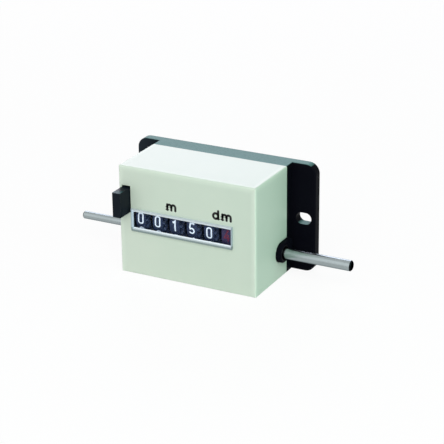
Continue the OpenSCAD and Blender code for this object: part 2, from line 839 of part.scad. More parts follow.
// Bail: a tube on its rod, an arm at each end for the pinion axle, and six hammers.
module reset_bail() {
    color([0.75, 0.74, 0.70]) difference() {
        union() {
            bar_x(-bail_end_x, bail_end_x, bail_at, bail_tube_r);
            for (x = [-bail_end_x, bail_end_x - bail_arm_t])
                along_x(x) linear_extrude(bail_arm_t) stadium(bail_at, pinion_at, bail_arm_r);
            for (n = [1 : wheel_count]) hammer(wheel_x(n) + (gear_face + ring_face - hammer_w) / 2);
        }
        bar_x(-plate_in_x, plate_in_x, bail_at, rod_d / 2 + run_gap);
        bar_x(-plate_in_x, plate_in_x, pinion_at, rod_d / 2 + seat_gap);
    }
}

// Hammer from the bail's tube to the gap beside a wheel, from x towards +X.
module hammer(x) {
    run = bail_at - hammer_at;
    along_x(x) linear_extrude(hammer_w) translate(hammer_at)
        rotate(atan2(run[1], run[0])) translate([-hammer_tip, -hammer_t])
            square([norm(run) + hammer_tip, hammer_t]);
}

module bail_rod() {
    color([0.72, 0.73, 0.75]) bar_x(-plate_out_x, plate_out_x, bail_at, rod_d / 2);
}

// Axle of the carry pinions. Its left end reaches out over the key's ramp.
module pinion_axle() {
    color([0.72, 0.73, 0.75]) bar_x(pinion_axle_x, bail_end_x, pinion_at, rod_d / 2);
}

// Reset key: finger pad, stop behind the housing's front, ramp and stem at the back.
module reset_key() {
    stop_y = inner_front_y + slide_gap;
    color([0.12, 0.14, 0.16]) union() {
        along_x(key_left_x) linear_extrude(key_w) polygon([
            [front_y - key_out, key_low_z], [stop_y, key_low_z], [stop_y, key_low_z - key_stop_h],
            [stop_y + key_stop_t, key_low_z - key_stop_h], [stop_y + key_stop_t, key_low_z],
            [key_back_y, key_low_z], [key_back_y, key_back_z], [ramp_top_y, key_high_z],
            [front_y - key_out, key_high_z]]);
        bar_y(key_back_y - past, platform_y + stem_in, key_mid_x, spring_z, stem_r);
    }
}

// Coil spring round the key's stem, from the key to the platform.
module key_spring() {
    y0 = key_back_y + spring_wire_r + seat_gap;
    y1 = platform_y - spring_wire_r - seat_gap;
    steps = spring_turns * spring_steps;
    rings = [for (i = [0 : steps]) let (a = i * 360 / spring_steps, y = y0 + (y1 - y0) * i / steps)
        [for (k = [0 : spring_sides - 1]) let (b = k * 360 / spring_sides,
            r = spring_r + spring_wire_r * cos(b))
            [key_mid_x + r * cos(a), y + spring_wire_r * sin(b), spring_z + r * sin(a)]]];
    sides = spring_sides;
    faces = [[for (k = [0 : sides - 1]) k],
        for (i = [0 : steps - 1], k = [0 : sides - 1]) let (n = (k + 1) % sides)
            [i * sides + n, i * sides + k, (i + 1) * sides + k, (i + 1) * sides + n],
        [for (k = [0 : sides - 1]) steps * sides + sides - 1 - k]];
    color([0.70, 0.71, 0.72]) polyhedron(points = [for (ring = rings) each ring], faces = faces);
}

// Four screws from the back of the base into the housing's corner bosses.
module cover_screws() {
    color([0.55, 0.56, 0.58]) for (side = [-1, 1], z = boss_z) {
        bar_y(platform_y - cover_screw_in, -counterbore, side * boss_x, z, cover_screw_r);
        bar_y(-counterbore, cover_head_t - counterbore, side * boss_x, z, cover_head_r);
    }
}

// Two screws through the foot of each side plate into the platform.
module frame_screws() {
    head_y = platform_y - plate_t;
    color([0.55, 0.56, 0.58]) for (side = [-1, 1], z = frame_screw_z) {
        bar_y(head_y, platform_y + frame_screw_in, side * frame_screw_x, z, frame_screw_r);
        bar_y(head_y - frame_head_t, head_y, side * frame_screw_x, z, frame_head_r);
    }
}

housing();
window_lens();
base_plate();
left_bush();
right_bush();
left_side_plate();
right_side_plate();
wheel_axle();
axle_clip();
drive_shaft();
shaft_clips();
drive_gear();
idler_gear();
idler_stud();
units_gear();
number_wheel_1();
number_wheel_2();
number_wheel_3();
number_wheel_4();
number_wheel_5();
number_wheel_6();
carry_pinion_1();
carry_pinion_2();
carry_pinion_3();
carry_pinion_4();
carry_pinion_5();
reset_bail();
bail_rod();
pinion_axle();
reset_key();
key_spring();
cover_screws();
frame_screws();
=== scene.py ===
# %% [markdown]
# # A mechanical metre counter
# The counter is a small moulded box with six number wheels behind a window. A
# shaft through both sides drives the wheels, a key at the left resets them, and
# a black base plate carries everything. The solids are already made and packed,
# at their real size, so this lesson frames and lights them, gives them their
# finish, and adds the figures, the unit marks, the screws and the spring. The
# loaded solids never move. All lengths are in metres, so a value in millimetres
# is multiplied by MM.

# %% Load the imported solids
import json
import math

import bmesh
import bpy
from mathutils import Matrix, Quaternion, Vector


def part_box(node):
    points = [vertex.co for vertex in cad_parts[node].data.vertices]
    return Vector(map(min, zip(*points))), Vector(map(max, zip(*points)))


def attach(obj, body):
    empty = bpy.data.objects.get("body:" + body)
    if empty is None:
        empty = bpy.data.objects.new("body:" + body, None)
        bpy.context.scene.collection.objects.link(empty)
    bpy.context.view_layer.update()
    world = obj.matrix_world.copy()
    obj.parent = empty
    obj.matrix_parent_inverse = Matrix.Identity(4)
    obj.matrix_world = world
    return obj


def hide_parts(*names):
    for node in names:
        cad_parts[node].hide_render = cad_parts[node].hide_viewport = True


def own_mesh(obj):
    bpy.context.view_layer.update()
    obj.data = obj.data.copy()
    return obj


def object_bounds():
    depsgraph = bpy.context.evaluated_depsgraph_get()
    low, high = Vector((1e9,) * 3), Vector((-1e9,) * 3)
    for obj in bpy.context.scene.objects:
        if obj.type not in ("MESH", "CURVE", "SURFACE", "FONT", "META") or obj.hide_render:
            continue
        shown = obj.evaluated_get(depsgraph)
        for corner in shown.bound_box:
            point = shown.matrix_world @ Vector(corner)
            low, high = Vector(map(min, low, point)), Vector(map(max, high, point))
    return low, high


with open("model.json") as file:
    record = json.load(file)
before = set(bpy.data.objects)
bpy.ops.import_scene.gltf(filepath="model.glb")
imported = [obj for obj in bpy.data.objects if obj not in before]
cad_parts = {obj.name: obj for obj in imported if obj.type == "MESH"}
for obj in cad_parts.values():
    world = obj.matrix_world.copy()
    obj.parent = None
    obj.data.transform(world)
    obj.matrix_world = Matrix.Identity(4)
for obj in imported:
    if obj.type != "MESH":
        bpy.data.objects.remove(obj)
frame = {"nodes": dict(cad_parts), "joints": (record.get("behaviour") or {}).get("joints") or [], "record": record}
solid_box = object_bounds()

MM = 0.001
nodes = frame["nodes"]
joints = {joint["name"]: joint for joint in frame["joints"]}


def size_mm(box):
    """Width, depth and height of a box of corners in metres, as millimetres."""
    return [round(v / MM, 2) for v in box[1] - box[0]]


def box_mm(name):
    """The lowest and the highest corner of a solid, in millimetres."""
    return [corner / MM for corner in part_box(name)]


print(f"{len(nodes)} solids, {len(joints)} joints, box {size_mm(solid_box)} mm")

# %% [markdown]
# ## The camera
# A product picture like this is taken with a long lens from a little above and
# to the right. The camera could be aimed by eye, but then every edge would need
# nudging. Fitting a camera to points along the edges in the picture gives its
# azimuth, elevation, roll, distance and lens at once, and they are used here as
# they came out. The back vector points from the object to the camera.

# %% Camera
PICTURE_SIDE = 444
azimuth, elevation, roll = math.radians(27.864), math.radians(22.193), math.radians(-0.673)
focal_pixels = 1628
back = Vector((
    math.sin(azimuth) * math.cos(elevation),
    -math.cos(azimuth) * math.cos(elevation),
    math.sin(elevation),
))
camera = bpy.data.objects.new("camera", bpy.data.cameras.new("camera"))
camera.data.sensor_width = 36
camera.data.lens = camera.data.sensor_width * focal_pixels / PICTURE_SIDE
camera.data.clip_start = 0.05
camera.location = Vector((264.53, -506.53, 224.63)) * MM
camera.rotation_mode = "QUATERNION"
camera.rotation_quaternion = (-back).to_track_quat("-Z", "Y") @ Quaternion((0, 0, 1), roll)
bpy.context.scene.collection.objects.link(camera)
bpy.context.scene.camera = camera
bpy.context.scene.view_settings.view_transform = "Standard"
print(f"lens {camera.data.lens:.1f} mm, {camera.location.length:.3f} m from the origin")

# %% [markdown]
# ## Shader maths as plain expressions
# A finish needs small sums, such as a mask times a noise, and wiring Math nodes
# by hand hides them. The class below wraps one socket and overloads the
# operators, so an expression on wires adds its Math nodes. Any other node comes
# from one method, which takes the node's type, its settings and the values or
# wires of its inputs.

# %% Wires
class Wire:
    """An output socket of a shader node, or the bare tree before there is one."""

    def __init__(self, tree, socket=None):
        self.tree = tree
        self.socket = socket

    def node(self, kind, settings=(), inputs=(), output=0):
        """Adds a node: its settings first, then a value or a wire for each input."""
        made = self.tree.nodes.new(kind)
        for name, value in dict(settings).items():
            setattr(made, name, value)
        for name, value in dict(inputs).items():
            if isinstance(value, Wire):
                self.tree.links.new(value.socket, made.inputs[name])
            else:
                made.inputs[name].default_value = value
        return Wire(self.tree, made.outputs[output] if made.outputs else None)

    def sibling(self, output):
        """Another output of the node that this wire comes from."""
        return Wire(self.tree, self.socket.node.outputs[output])

    def math(self, operation, first, second=0.0):
        return self.node("ShaderNodeMath", {"operation": operation}, {0: first, 1: second})

    def __add__(self, other):
        return self.math("ADD", self, other)

    def __radd__(self, other):
        return self.math("ADD", other, self)

    def __sub__(self, other):
        return self.math("SUBTRACT", self, other)

    def __rsub__(self, other):
        return self.math("SUBTRACT", other, self)

    def __mul__(self, other):
        return self.math("MULTIPLY", self, other)

    def __rmul__(self, other):
        return self.math("MULTIPLY", other, self)

    def __truediv__(self, other):
        return self.math("DIVIDE", self, other)

    def __gt__(self, other):
        return self.math("GREATER_THAN", self, other)

    def __lt__(self, other):
        return self.math("LESS_THAN", self, other)

    def __mod__(self, other):
        return self.math("FLOORED_MODULO", self, other)

    def __abs__(self):
        return self.math("ABSOLUTE", self)


def empty_tree(owner):
    """The node tree of a world or a material, cleared."""
    owner.use_nodes = True
    owner.node_tree.nodes.clear()
    return Wire(owner.node_tree)


print("wires know + - * / > < % and abs")

# %% [markdown]
# ## World, floor and lamps
# The picture has a white background with hardly a shadow. The world is white
# where the camera, a reflection or clear plastic looks at it, and a plain grey
# for the light that it gives, so the white doesn't light the object. The floor
# does the same: most of it shows as plain white, and a small share is really
# lit, which keeps a soft shadow under the counter.

# %% World
WHITE = (1, 1, 1, 1)
ambient = 0.30


def seen_directly(tree):
    """1 for a ray from the camera, from a reflection or through clear plastic."""
    camera_ray = tree.node("ShaderNodeLightPath")
    mirrored = camera_ray.sibling("Is Glossy Ray")
    through = camera_ray.sibling("Is Transmission Ray")
    return tree.math("MINIMUM", camera_ray + mirrored + through, 1.0)


world = bpy.data.worlds.new("studio")
bpy.context.scene.world = world
tree = empty_tree(world)
strength = ambient + (1 - ambient) * seen_directly(tree)
sky = tree.node("ShaderNodeBackground", inputs={"Color": WHITE, "Strength": strength})
tree.node("ShaderNodeOutputWorld", inputs={"Surface": sky})
print(f"ambient light {ambient}")

# %% Floor
PAPER = (0.86, 0.86, 0.86, 1)
floor_white, lit_share = 1.02, 0.10
floor_half = 3.0
paper = bpy.data.materials.new("floor_paper")
tree = empty_tree(paper)
lit = tree.node("ShaderNodeBsdfDiffuse", inputs={"Color": PAPER})
plain = tree.node("ShaderNodeEmission", inputs={"Color": WHITE, "Strength": floor_white})
share = (1 - lit_share) * seen_directly(tree)
mixed = tree.node("ShaderNodeMixShader", inputs={0: share, 1: lit, 2: plain})
tree.node("ShaderNodeOutputMaterial", inputs={"Surface": mixed})

low_z = solid_box[0].z
corners = [(-floor_half, -floor_half, low_z), (floor_half, -floor_half, low_z),
           (floor_half, floor_half, low_z), (-floor_half, floor_half, low_z)]
floor_mesh = bpy.data.meshes.new("floor")
floor_mesh.from_pydata(corners, [], [(0, 1, 2, 3)])
floor_mesh.materials.append(paper)
floor = bpy.data.objects.new("floor", floor_mesh)
bpy.context.scene.collection.objects.link(floor)
print(f"floor at {low_z / MM:.1f} mm, {2 * floor_half:.0f} m wide")

# %% [markdown]
# ## Lamps
# Large softboxes light the counter evenly. The main one stands at the front
# right, so the rounded corner between face and side faces it and is brightest.
# A weak one at the left is there for the streak along the shaft, a weak cool
# one lifts the side, and one low at the back gives the glare of the top, which
# is seen at a flat angle and mirrors what stands behind it. A lamp is placed by
# the direction it shines from, and its power is worked out from the share of
# white that it gives a surface facing it.

# %% Lamps
POWER_FOR_WHITE = math.pi ** 2
LAMP_DISTANCE = 1.0


def softbox(name, azimuth, elevation, side, level, tint=(1, 1, 1)):
    """A square lamp aimed at the origin; level 1 lights a facing white surface to white."""
    a, e = math.radians(azimuth), math.radians(elevation)
    away = Vector((math.sin(a) * math.cos(e), -math.cos(a) * math.cos(e), math.sin(e)))
    data = bpy.data.lights.new(name, "AREA")
    data.shape = "SQUARE"
    data.size = side
    data.energy = POWER_FOR_WHITE * level * LAMP_DISTANCE ** 2
    data.color = tint
    lamp = bpy.data.objects.new(name, data)
    lamp.location = away * LAMP_DISTANCE
    lamp.rotation_mode = "QUATERNION"
    lamp.rotation_quaternion = (-away).to_track_quat("-Z", "Y")
    bpy.context.scene.collection.objects.link(lamp)
    print(f"{name}: {data.energy:.1f} W over {side} m")


softbox("main_lamp", azimuth=26, elevation=35, side=0.9, level=0.67)
softbox("left_lamp", azimuth=-28, elevation=24, side=1.2, level=0.16)
softbox("right_lamp", azimuth=85, elevation=20, side=0.8, level=0.19, tint=(0.16, 1, 0.66))
softbox("back_lamp", azimuth=208, elevation=22, side=0.5, level=0.40, tint=(0.90, 0.83, 1))

# %% [markdown]
# ## A finish
# Every finish here is made of the same things: a Principled shader, the place
# of a point in millimetres, and a few helpers for noise, for mixing two colours
# and for a bump. They are functions of a wire, so each finish below reads as a
# short list of what the eye sees on that material.

# %% Start of a finish
X, Y, Z = range(3)


def begin(name):
    """A new material, as its name, its bare tree and the place of a point in millimetres."""
    material = bpy.data.materials.new(name)
    tree = empty_tree(material)
    in_metres = tree.node("ShaderNodeTexCoord", output="Object")
    place = tree.node("ShaderNodeVectorMath", {"operation": "SCALE"}, {0: in_metres, "Scale": 1 / MM})
    return material, tree, place


def axes(place):
    """The x, y and z of a point, as three wires."""
    split = place.node("ShaderNodeSeparateXYZ", inputs={0: place})
    return [split.sibling(axis) for axis in "XYZ"]


print(f"places in units of {MM} m")

# %% Noise, mixing and bumps
GRAIN_HEIGHT = 0.01 * MM


def noise(place, per_mm, detail=2.0, rough=0.5):
    """Soft noise from 0 to 1 with so many waves a millimetre."""
    return place.node("ShaderNodeTexNoise",
                      inputs={"Vector": place, "Scale": per_mm, "Detail": detail, "Roughness": rough})


def mix(tree, share, first, second):
    """A colour between two colours or wires."""
    return tree.node("ShaderNodeMix", {"data_type": "RGBA"}, {0: share, 6: first, 7: second}, output=2)


def scaled(place, across, factor):
    """The place with one axis scaled up, so that noise on it makes marks across that axis."""
    scale = [1.0, 1.0, 1.0]
    scale[across] = factor
    return place.node("ShaderNodeVectorMath", {"operation": "MULTIPLY"}, {0: place, 1: scale})


def bump(height, strength):
    """A normal that follows a height from 0 to 1, which stands for GRAIN_HEIGHT."""
    return height.node("ShaderNodeBump",
                       inputs={"Strength": strength, "Distance": GRAIN_HEIGHT, "Height": height})


print(f"bumps up to {GRAIN_HEIGHT / MM} mm high")

# %% End of a finish
def end(tree, **inputs):
    """The Principled shader and the output; an input's name has _ for each space."""
    values = {name.replace("_", " "): value for name, value in inputs.items()}
    shader = tree.node("ShaderNodeBsdfPrincipled", inputs=values)
    tree.node("ShaderNodeOutputMaterial", inputs={"Surface": shader})


def wear(material, *names):
    """Puts a material on the solids of these names."""
    for name in names:
        slots = nodes[name].data.materials
        slots.clear()
        slots.append(material)
    print(f"{material.name}: {', '.join(names)}")


print(f"{len(nodes)} solids to finish")

# %% [markdown]
# ## Housing plastic
# The housing is moulded in a pale grey-green plastic. Its surface is satin: the tool was spark-eroded, which
# leaves a very fine grain, and the colour drifts a little along the way that the plastic flowed. Two noises do it,
# a coarse one for the drift and a fine one for the grain. The drift also leans paler towards the lower left
# corner, which is a painted pool of light. The edges are painted paler, a painted highlight where a lamp would
# glint on their rounding. An edge is where two of the three distances to the faces are small, so the middle one of
# the three tells how far an edge is. The walls of the window's opening are coloured near black as painted shade,
# or they would show as a pale line beside the first wheel.

# %% Housing
LIGHT_LEAN_MM, EDGE_HIGHLIGHT_MM, SHADED_MM = 80, 2.2, 0.9
material, tree, place = begin("housing_plastic")
x, y, z = axes(place)
# The drift's lean paler towards the lower left is a painted pool of light.
drift = noise(place, 0.06, 3) - (x + z) / LIGHT_LEAN_MM
grain = noise(place, 3.5, 3)
pale = mix(tree, drift, (0.560, 0.660, 0.560, 1), (0.620, 0.700, 0.600, 1))
speckled = mix(tree, grain * 0.25, pale, (0.520, 0.620, 0.530, 1))
low, high = box_mm("housing")
from_side, from_front, from_top = high.x - abs(x), y - low.y, high.z - z
nearest = tree.math("MINIMUM", from_side, from_front)
farther = tree.math("MAXIMUM", from_side, from_front)
from_edge = tree.math("MAXIMUM", nearest, tree.math("MINIMUM", farther, from_top))
# Painted highlight: the edges are painted paler.
painted_paler = mix(tree, (1 - from_edge / EDGE_HIGHLIGHT_MM) * 0.8, speckled, (0.690, 0.790, 0.680, 1))
window_low, window_high = box_mm("window_lens")
centre = (window_low + window_high) / 2
reach = window_high - centre + Vector((SHADED_MM, 0, SHADED_MM))
# Painted shade: the walls of the window's opening are coloured near black.
shaded_opening = (abs(x - centre.x) < reach.x) * (abs(z - centre.z) < reach.z) * (y > low.y + SHADED_MM)
seen = mix(tree, shaded_opening, painted_paler, (0.012, 0.016, 0.026, 1))
end(tree, Base_Color=seen, Roughness=0.36 + 0.12 * grain, Specular_IOR_Level=0.42,
    Normal=bump(grain, 0.18))
wear(material, "housing")

# %% [markdown]
# ## Black plastic
# Base and key are dark mouldings. The base is nearly black with a blue cast, faded to slate at its left end, and
# the key is a little greyer, where thumbs have worn it. Black shows its grain only in the glare, so the grain goes
# into roughness and bump and not into the colour. Where the surface faces up, a pale teal sheen is painted into
# the colour, a painted reflection of what stands behind: on the top of the base, in its screw slots and on the
# front of the key's top.

# %% Painted sheen
TOP_MM = 0.6
SHEEN_FROM_UP = 0.75


def painted_sheen(tree, place, colour, sheen, where):
    """A colour with a painted sheen on what faces up more than the set limit, where a mask is 1."""
    up = axes(tree.node("ShaderNodeNewGeometry", output="Normal"))[Z]
    return mix(tree, (up - SHEEN_FROM_UP) * (2.8 + 2.4 * noise(place, 1.0, 3)) * where, colour, sheen)


print(f"dust within {TOP_MM} mm of a top, where the normal's z is over {SHEEN_FROM_UP}")

# %% Base
FADE_FROM, FADE_MM = -20.0, 20
material, tree, place = begin("base_plastic")
drift = noise(place, 0.08, 2)
grain = noise(place, 3.0, 3)
x, y, z = axes(place)
black = mix(tree, drift, (0.0030, 0.0032, 0.0058, 1), (0.0044, 0.0046, 0.0078, 1))
black = mix(tree, (FADE_FROM - x) / FADE_MM, black, (0.021, 0.030, 0.038, 1))
slot = frame["record"]["mounts"][0]["dims"]
in_slot = abs(abs(x) - slot["spacing_x_mm"] / 2) < slot["slot_length_mm"] / 2
in_slot = in_slot * (abs(z) < slot["hole_r_mm"] + TOP_MM)
at_top = z > box_mm("base_plate")[1].z - TOP_MM
# Painted sheen: a pale teal reflection on the top of the base and in its slots.
with_sheen = painted_sheen(tree, place, black, (0.158, 0.297, 0.292, 1), at_top + in_slot)
end(tree, Base_Color=with_sheen, Roughness=0.22 + 0.10 * grain, Specular_IOR_Level=0.008,
    Normal=bump(grain, 0.12))
wear(material, "base_plate")

# %% Bushes
material, tree, place = begin("bush_plastic")
turning = noise(scaled(place, across=X, factor=6.0), 1.2, 2)
end(tree, Base_Color=(0.0014, 0.0014, 0.003, 1), Roughness=0.30 + 0.12 * turning,
    Specular_IOR_Level=0.08, Normal=bump(turning, 0.1))
wear(material, "left_bush", "right_bush")

# %% Key
SHEEN_DEPTH, FADE_DEPTH = 3.2, 1.2
material, tree, place = begin("key_plastic")
grain = noise(place, 3.2, 3)
rub = noise(place, 0.35, 2)
slate = mix(tree, rub, (0.0040, 0.0070, 0.0120, 1), (0.0070, 0.0110, 0.0170, 1))
low, high = box_mm("reset_key")
y, z = axes(place)[Y:]
# Painted sheen on the front of the key's top.
near_front = tree.math("MINIMUM", (low.y + SHEEN_DEPTH - y) / FADE_DEPTH, 1.0)
sheen_mask = tree.math("MAXIMUM", near_front, 0.0) * (z > high.z - TOP_MM)
with_sheen = painted_sheen(tree, place, slate, (0.014, 0.066, 0.074, 1), sheen_mask)
end(tree, Base_Color=with_sheen, Roughness=0.34 + 0.12 * grain, Specular_IOR_Level=0.06,
    Normal=bump(grain, 0.15))
wear(material, "reset_key")

# %% [markdown]
# ## The window
# One clear moulding makes both the pane and the border that slopes down to it.
# The pane is polished and hardly shows, so its alpha is low. The plug behind it has dark sides, painted shade that
# keeps the edge of the opening out of sight. The slopes are frosted, the side ones only on their outer part, and
# the upper and lower slopes are painted paler than the side ones, as painted light and shade. A painted shadow
# darkens the outer edge of the slopes, most of it on the lower one.

# %% Window
low, high = box_mm("window_lens")
centre, half = (low + high) / 2, (high - low) / 2
housing_front = box_mm("housing")[0].y
slope_w, frosted_w, slope_h = 0.95, 0.74, 1.35
plug_inset, margin = 0.5, 0.05
inner_edge = 0.99
PANE_ALPHA = 0.04

material, tree, place = begin("clear_lens")
x, y, z = axes(place)
inward_x = half.x - abs(x - centre.x)
inward_z = (half.z - abs(z - centre.z)) / slope_h
outside = y < housing_front + margin
sloped = (tree.math("MINIMUM", inward_x / slope_w, inward_z) < inner_edge) * outside
# Painted shade: the plug's sides are opaque and near black.
shaded_plug_side = (tree.math("MINIMUM", inward_x, inward_z * slope_h) < plug_inset + margin) * (1 - outside)
inward = tree.math("MINIMUM", inward_x / frosted_w, inward_z)
frosted = (inward < inner_edge) * sloped
frost = noise(place, 2.2, 3)
# Painted light and shade: the upper and lower slopes are paler than the side ones.
light = mix(tree, inward_x / slope_w < inward_z, (0.86, 0.94, 1.00, 1), (0.50, 0.60, 0.69, 1))
# Painted shadow: the slopes darken towards their outer edge, most on the lower one.
shadow_on_lower = (z < low.z + slope_h) * (0.85 - inward) * (1.4 + 0.6 * frost)
painted_shadow = shadow_on_lower + 0.45 * (inward < 0.3)
tone = mix(tree, frosted, (0.010, 0.018, 0.036, 1), mix(tree, painted_shadow, light, (0.19, 0.25, 0.25, 1)))
end(tree, Base_Color=tone, Roughness=0.04 + 0.40 * frosted, Specular_IOR_Level=0.4,
    Alpha=PANE_ALPHA + (1 - PANE_ALPHA) * (sloped + shaded_plug_side), Normal=bump(frost * frosted, 0.25))
wear(material, "window_lens")

# %% [markdown]
# ## Number wheels
# The wheels are dark navy. The drum's face, where the figures are printed, is smooth, and the gear and the ring
# beside it are painted a little paler, painted light that makes up for the shade they lie in between the drums.
# The last drum, which carries the red figures, is plum instead. A face is found by its distance from the middle of
# the nearest drum.

# %% Wheels and their figures' places
WHEELS = 6
wheel_x = {n: joints[f"wheel_{n}_spin"]["pos_m"][0] / MM for n in range(1, WHEELS + 1)}
wheel_pitch = wheel_x[2] - wheel_x[1]
low, high = box_mm("number_wheel_3")
wheel_y, wheel_z = (low.y + high.y) / 2, (low.z + high.z) / 2
drum_r = (high.z - low.z) / 2
face_half = 2.07

material, tree, place = begin("wheel_plastic")
x = axes(place)[X]
offset = abs((x - wheel_x[1] + wheel_pitch / 2) % wheel_pitch - wheel_pitch / 2)
on_face = offset < face_half
cloud = noise(place, 0.25, 2)
grain = noise(place, 4.0, 2)
face = mix(tree, cloud, (0.024, 0.040, 0.090, 1), (0.034, 0.050, 0.110, 1))
# Painted light: the gear and ring beside each face are paler, to make up for the shade they lie in.
painted_paler = mix(tree, cloud, (0.044, 0.068, 0.136, 1), (0.057, 0.081, 0.155, 1))
plum = (x > wheel_x[WHEELS] - wheel_pitch / 2) * on_face
navy = mix(tree, on_face, painted_paler, face)
drums = mix(tree, plum * 0.8, navy, (0.058, 0.046, 0.120, 1))
end(tree, Base_Color=drums, Roughness=0.42 + 0.14 * grain, Specular_IOR_Level=0.1,
    Normal=bump(grain, 0.15))
wear(material, *[f"number_wheel_{n}" for n in range(1, WHEELS + 1)])
print(f"drums of radius {drum_r:.2f} mm, {wheel_pitch:.2f} mm apart")

# %% [markdown]
# ## Metals and the gears inside
# Steel that was ground round has fine marks across its length, sheet that was zinc-plated is slightly cloudy, and
# brass has faint turning rings. The parts inside hardly show, but they are there when the counter is opened. The
# drive shaft is bright only where it sticks out: inside the bushes and on its end faces it is coloured near black.
# The side plates are coloured near black in front of the wheels' axle as painted shade, where a bright edge would
# show through the window.

# %% Marks and metals
MARKS_SCALE = 14.0


def marked(tree, place, colour, deeper, across, per_mm):
    """Fine marks across one axis, and the tone of the metal."""
    marks = noise(scaled(place, across, MARKS_SCALE), per_mm, 3, 0.6)
    return marks, mix(tree, noise(place, 0.4, 2) * 0.6 + marks * 0.4, colour, deeper)


def metal(name, colour, deeper, rough, across, per_mm, strength):
    """A metal all of one finish."""
    material, tree, place = begin(name)
    marks, tone = marked(tree, place, colour, deeper, across, per_mm)
    end(tree, Base_Color=tone, Metallic=1.0, Roughness=rough + 0.12 * marks,
        Normal=bump(marks, strength))
    return material


print(f"marks {MARKS_SCALE:.0f} times longer than wide")

# %% Shaft
BRIGHT_FROM, END_CHAMFER = 30.1, 0.45
material, tree, place = begin("shaft_steel")
marks, ground = marked(tree, place, (0.375, 0.425, 0.435, 1), (0.27, 0.315, 0.325, 1),
                       across=X, per_mm=0.7)
along = abs(axes(place)[X])
# Near black inside the bushes and on the end faces.
dark = (along < BRIGHT_FROM) + (along > box_mm("drive_shaft")[1].x - END_CHAMFER)
end(tree, Base_Color=mix(tree, dark, ground, (0.010, 0.011, 0.013, 1)), Metallic=1.0,
    Roughness=0.20 + 0.10 * marks, Specular_Tint=(0.25, 0.28, 0.28, 1), Normal=bump(marks, 0.10))
wear(material, "drive_shaft")

# %% Axles, clips and brass gear
wear(metal("bright_steel", (0.66, 0.67, 0.69, 1), (0.52, 0.53, 0.55, 1),
           rough=0.22, across=X, per_mm=0.7, strength=0.08),
     "wheel_axle", "idler_stud", "bail_rod", "pinion_axle")
wear(metal("spring_steel", (0.38, 0.38, 0.40, 1), (0.28, 0.28, 0.30, 1),
           rough=0.30, across=Y, per_mm=0.6, strength=0.08),
     "axle_clip", "shaft_clips")
wear(metal("gear_brass", (0.78, 0.60, 0.28, 1), (0.62, 0.45, 0.18, 1),
           rough=0.26, across=X, per_mm=0.8, strength=0.10),
     "drive_gear")

# %% Side plates
material, tree, place = begin("plated_sheet")
marks, zinc = marked(tree, place, (0.62, 0.64, 0.66, 1), (0.48, 0.50, 0.53, 1),
                     across=Z, per_mm=0.5)
# Painted shade: the plates are near black in front of the wheels' axle.
painted_dark_front = axes(place)[Y] < wheel_y
end(tree, Base_Color=mix(tree, painted_dark_front, zinc, (0.010, 0.012, 0.018, 1)), Metallic=1.0 - painted_dark_front,
    Roughness=0.32 + 0.12 * marks, Normal=bump(marks, 0.10))
wear(material, "left_side_plate", "right_side_plate")

# %% Plastic gears and bail
def plain_plastic(name, colour, deeper, rough):
    """A moulded plastic without pigment to speak of, slightly cloudy."""
    material, tree, place = begin(name)
    cloud = noise(place, 0.3, 2)
    grain = noise(place, 4.0, 2)
    end(tree, Base_Color=mix(tree, cloud, colour, deeper), Roughness=rough + 0.12 * grain,
        Normal=bump(grain, 0.12))
    return material


wear(plain_plastic("gear_plastic", (0.80, 0.78, 0.70, 1), (0.72, 0.70, 0.60, 1), rough=0.36),
     "idler_gear", "units_gear", *[f"carry_pinion_{n}" for n in range(1, WHEELS)])
wear(plain_plastic("bail_plastic", (0.56, 0.55, 0.51, 1), (0.46, 0.45, 0.42, 1), rough=0.40),
     "reset_bail")

# %% [markdown]
# ## A stroke alphabet
# Figures on such wheels are drawn with one even stroke. They could be cut from
# a font, but a font's outlines are made for paper, and here each figure has to
# bend round a drum. So a figure is a list of strokes, a stroke is a list of
# points, and round stretches are arcs worked out from a centre and a radius.

# %% Strokes of the figures
FIGURE_W, FIGURE_H, FIGURE_STROKE = 1.82, 3.86, 0.55
ARC_DEGREES = 15


def arc(x, z, r, start, stop, squeeze=1.0):
    """Points on an arc about (x, z), angles in degrees from +x towards up."""
    count = max(4, round(abs(stop - start) / ARC_DEGREES))
    turns = [math.radians(start + (stop - start) * i / count) for i in range(count + 1)]
    return [(x + r * math.cos(a), z + r * squeeze * math.sin(a)) for a in turns]


def figure_strokes():
    """For each figure from 0 to 9 its strokes, as points about the figure's middle."""
    side, top = FIGURE_W / 2, FIGURE_H / 2
    bend = side * 0.88
    inner, high, low = side - bend, top - bend, bend - top
    oval = (arc(inner, high, bend, 0, 90) + arc(-inner, high, bend, 90, 180)
            + arc(-inner, low, bend, 180, 270) + arc(inner, low, bend, 270, 360))
    waist = 0.12
    bowl = (top + waist) / 2
    six = (arc(side * 0.9, -0.05, side * 1.9, 112, 180, 1.02)
           + arc(0, low, side, 180, 540))
    return {
        0: [oval + oval[:1]],
        1: [[(-0.62, top - 0.72), (0.18, top), (0.18, -top)]],
        2: [arc(0, top - side, side, 172, -22) + [(-side, -top), (side, -top)]],
        3: [arc(-0.05, top - bowl * 0.92, bowl * 0.92, 150, -70),
            arc(-0.05, bowl - top, bowl, 78, -150)],
        4: [[(0.42, top), (-side, -0.80), (side, -0.80)], [(0.52, 0.30), (0.52, -top)]],
        5: [[(side * 0.86, top), (-side * 0.74, top), (-side * 0.86, 0.22)]
            + arc(-0.04, -0.86, side * 1.04, 128, -142)],
        6: [six],
        7: [[(-side, top), (side, top), (-0.30, -top)]],
        8: [arc(0, top - bowl * 0.9, bowl * 0.9, -90, 270),
            arc(0, bowl * 1.02 - top, bowl * 1.02, 90, 450)],
        9: [[(-x, -z) for x, z in six]],
    }


print(f"figures {FIGURE_W + FIGURE_STROKE:.2f} by {FIGURE_H + FIGURE_STROKE:.2f} mm")

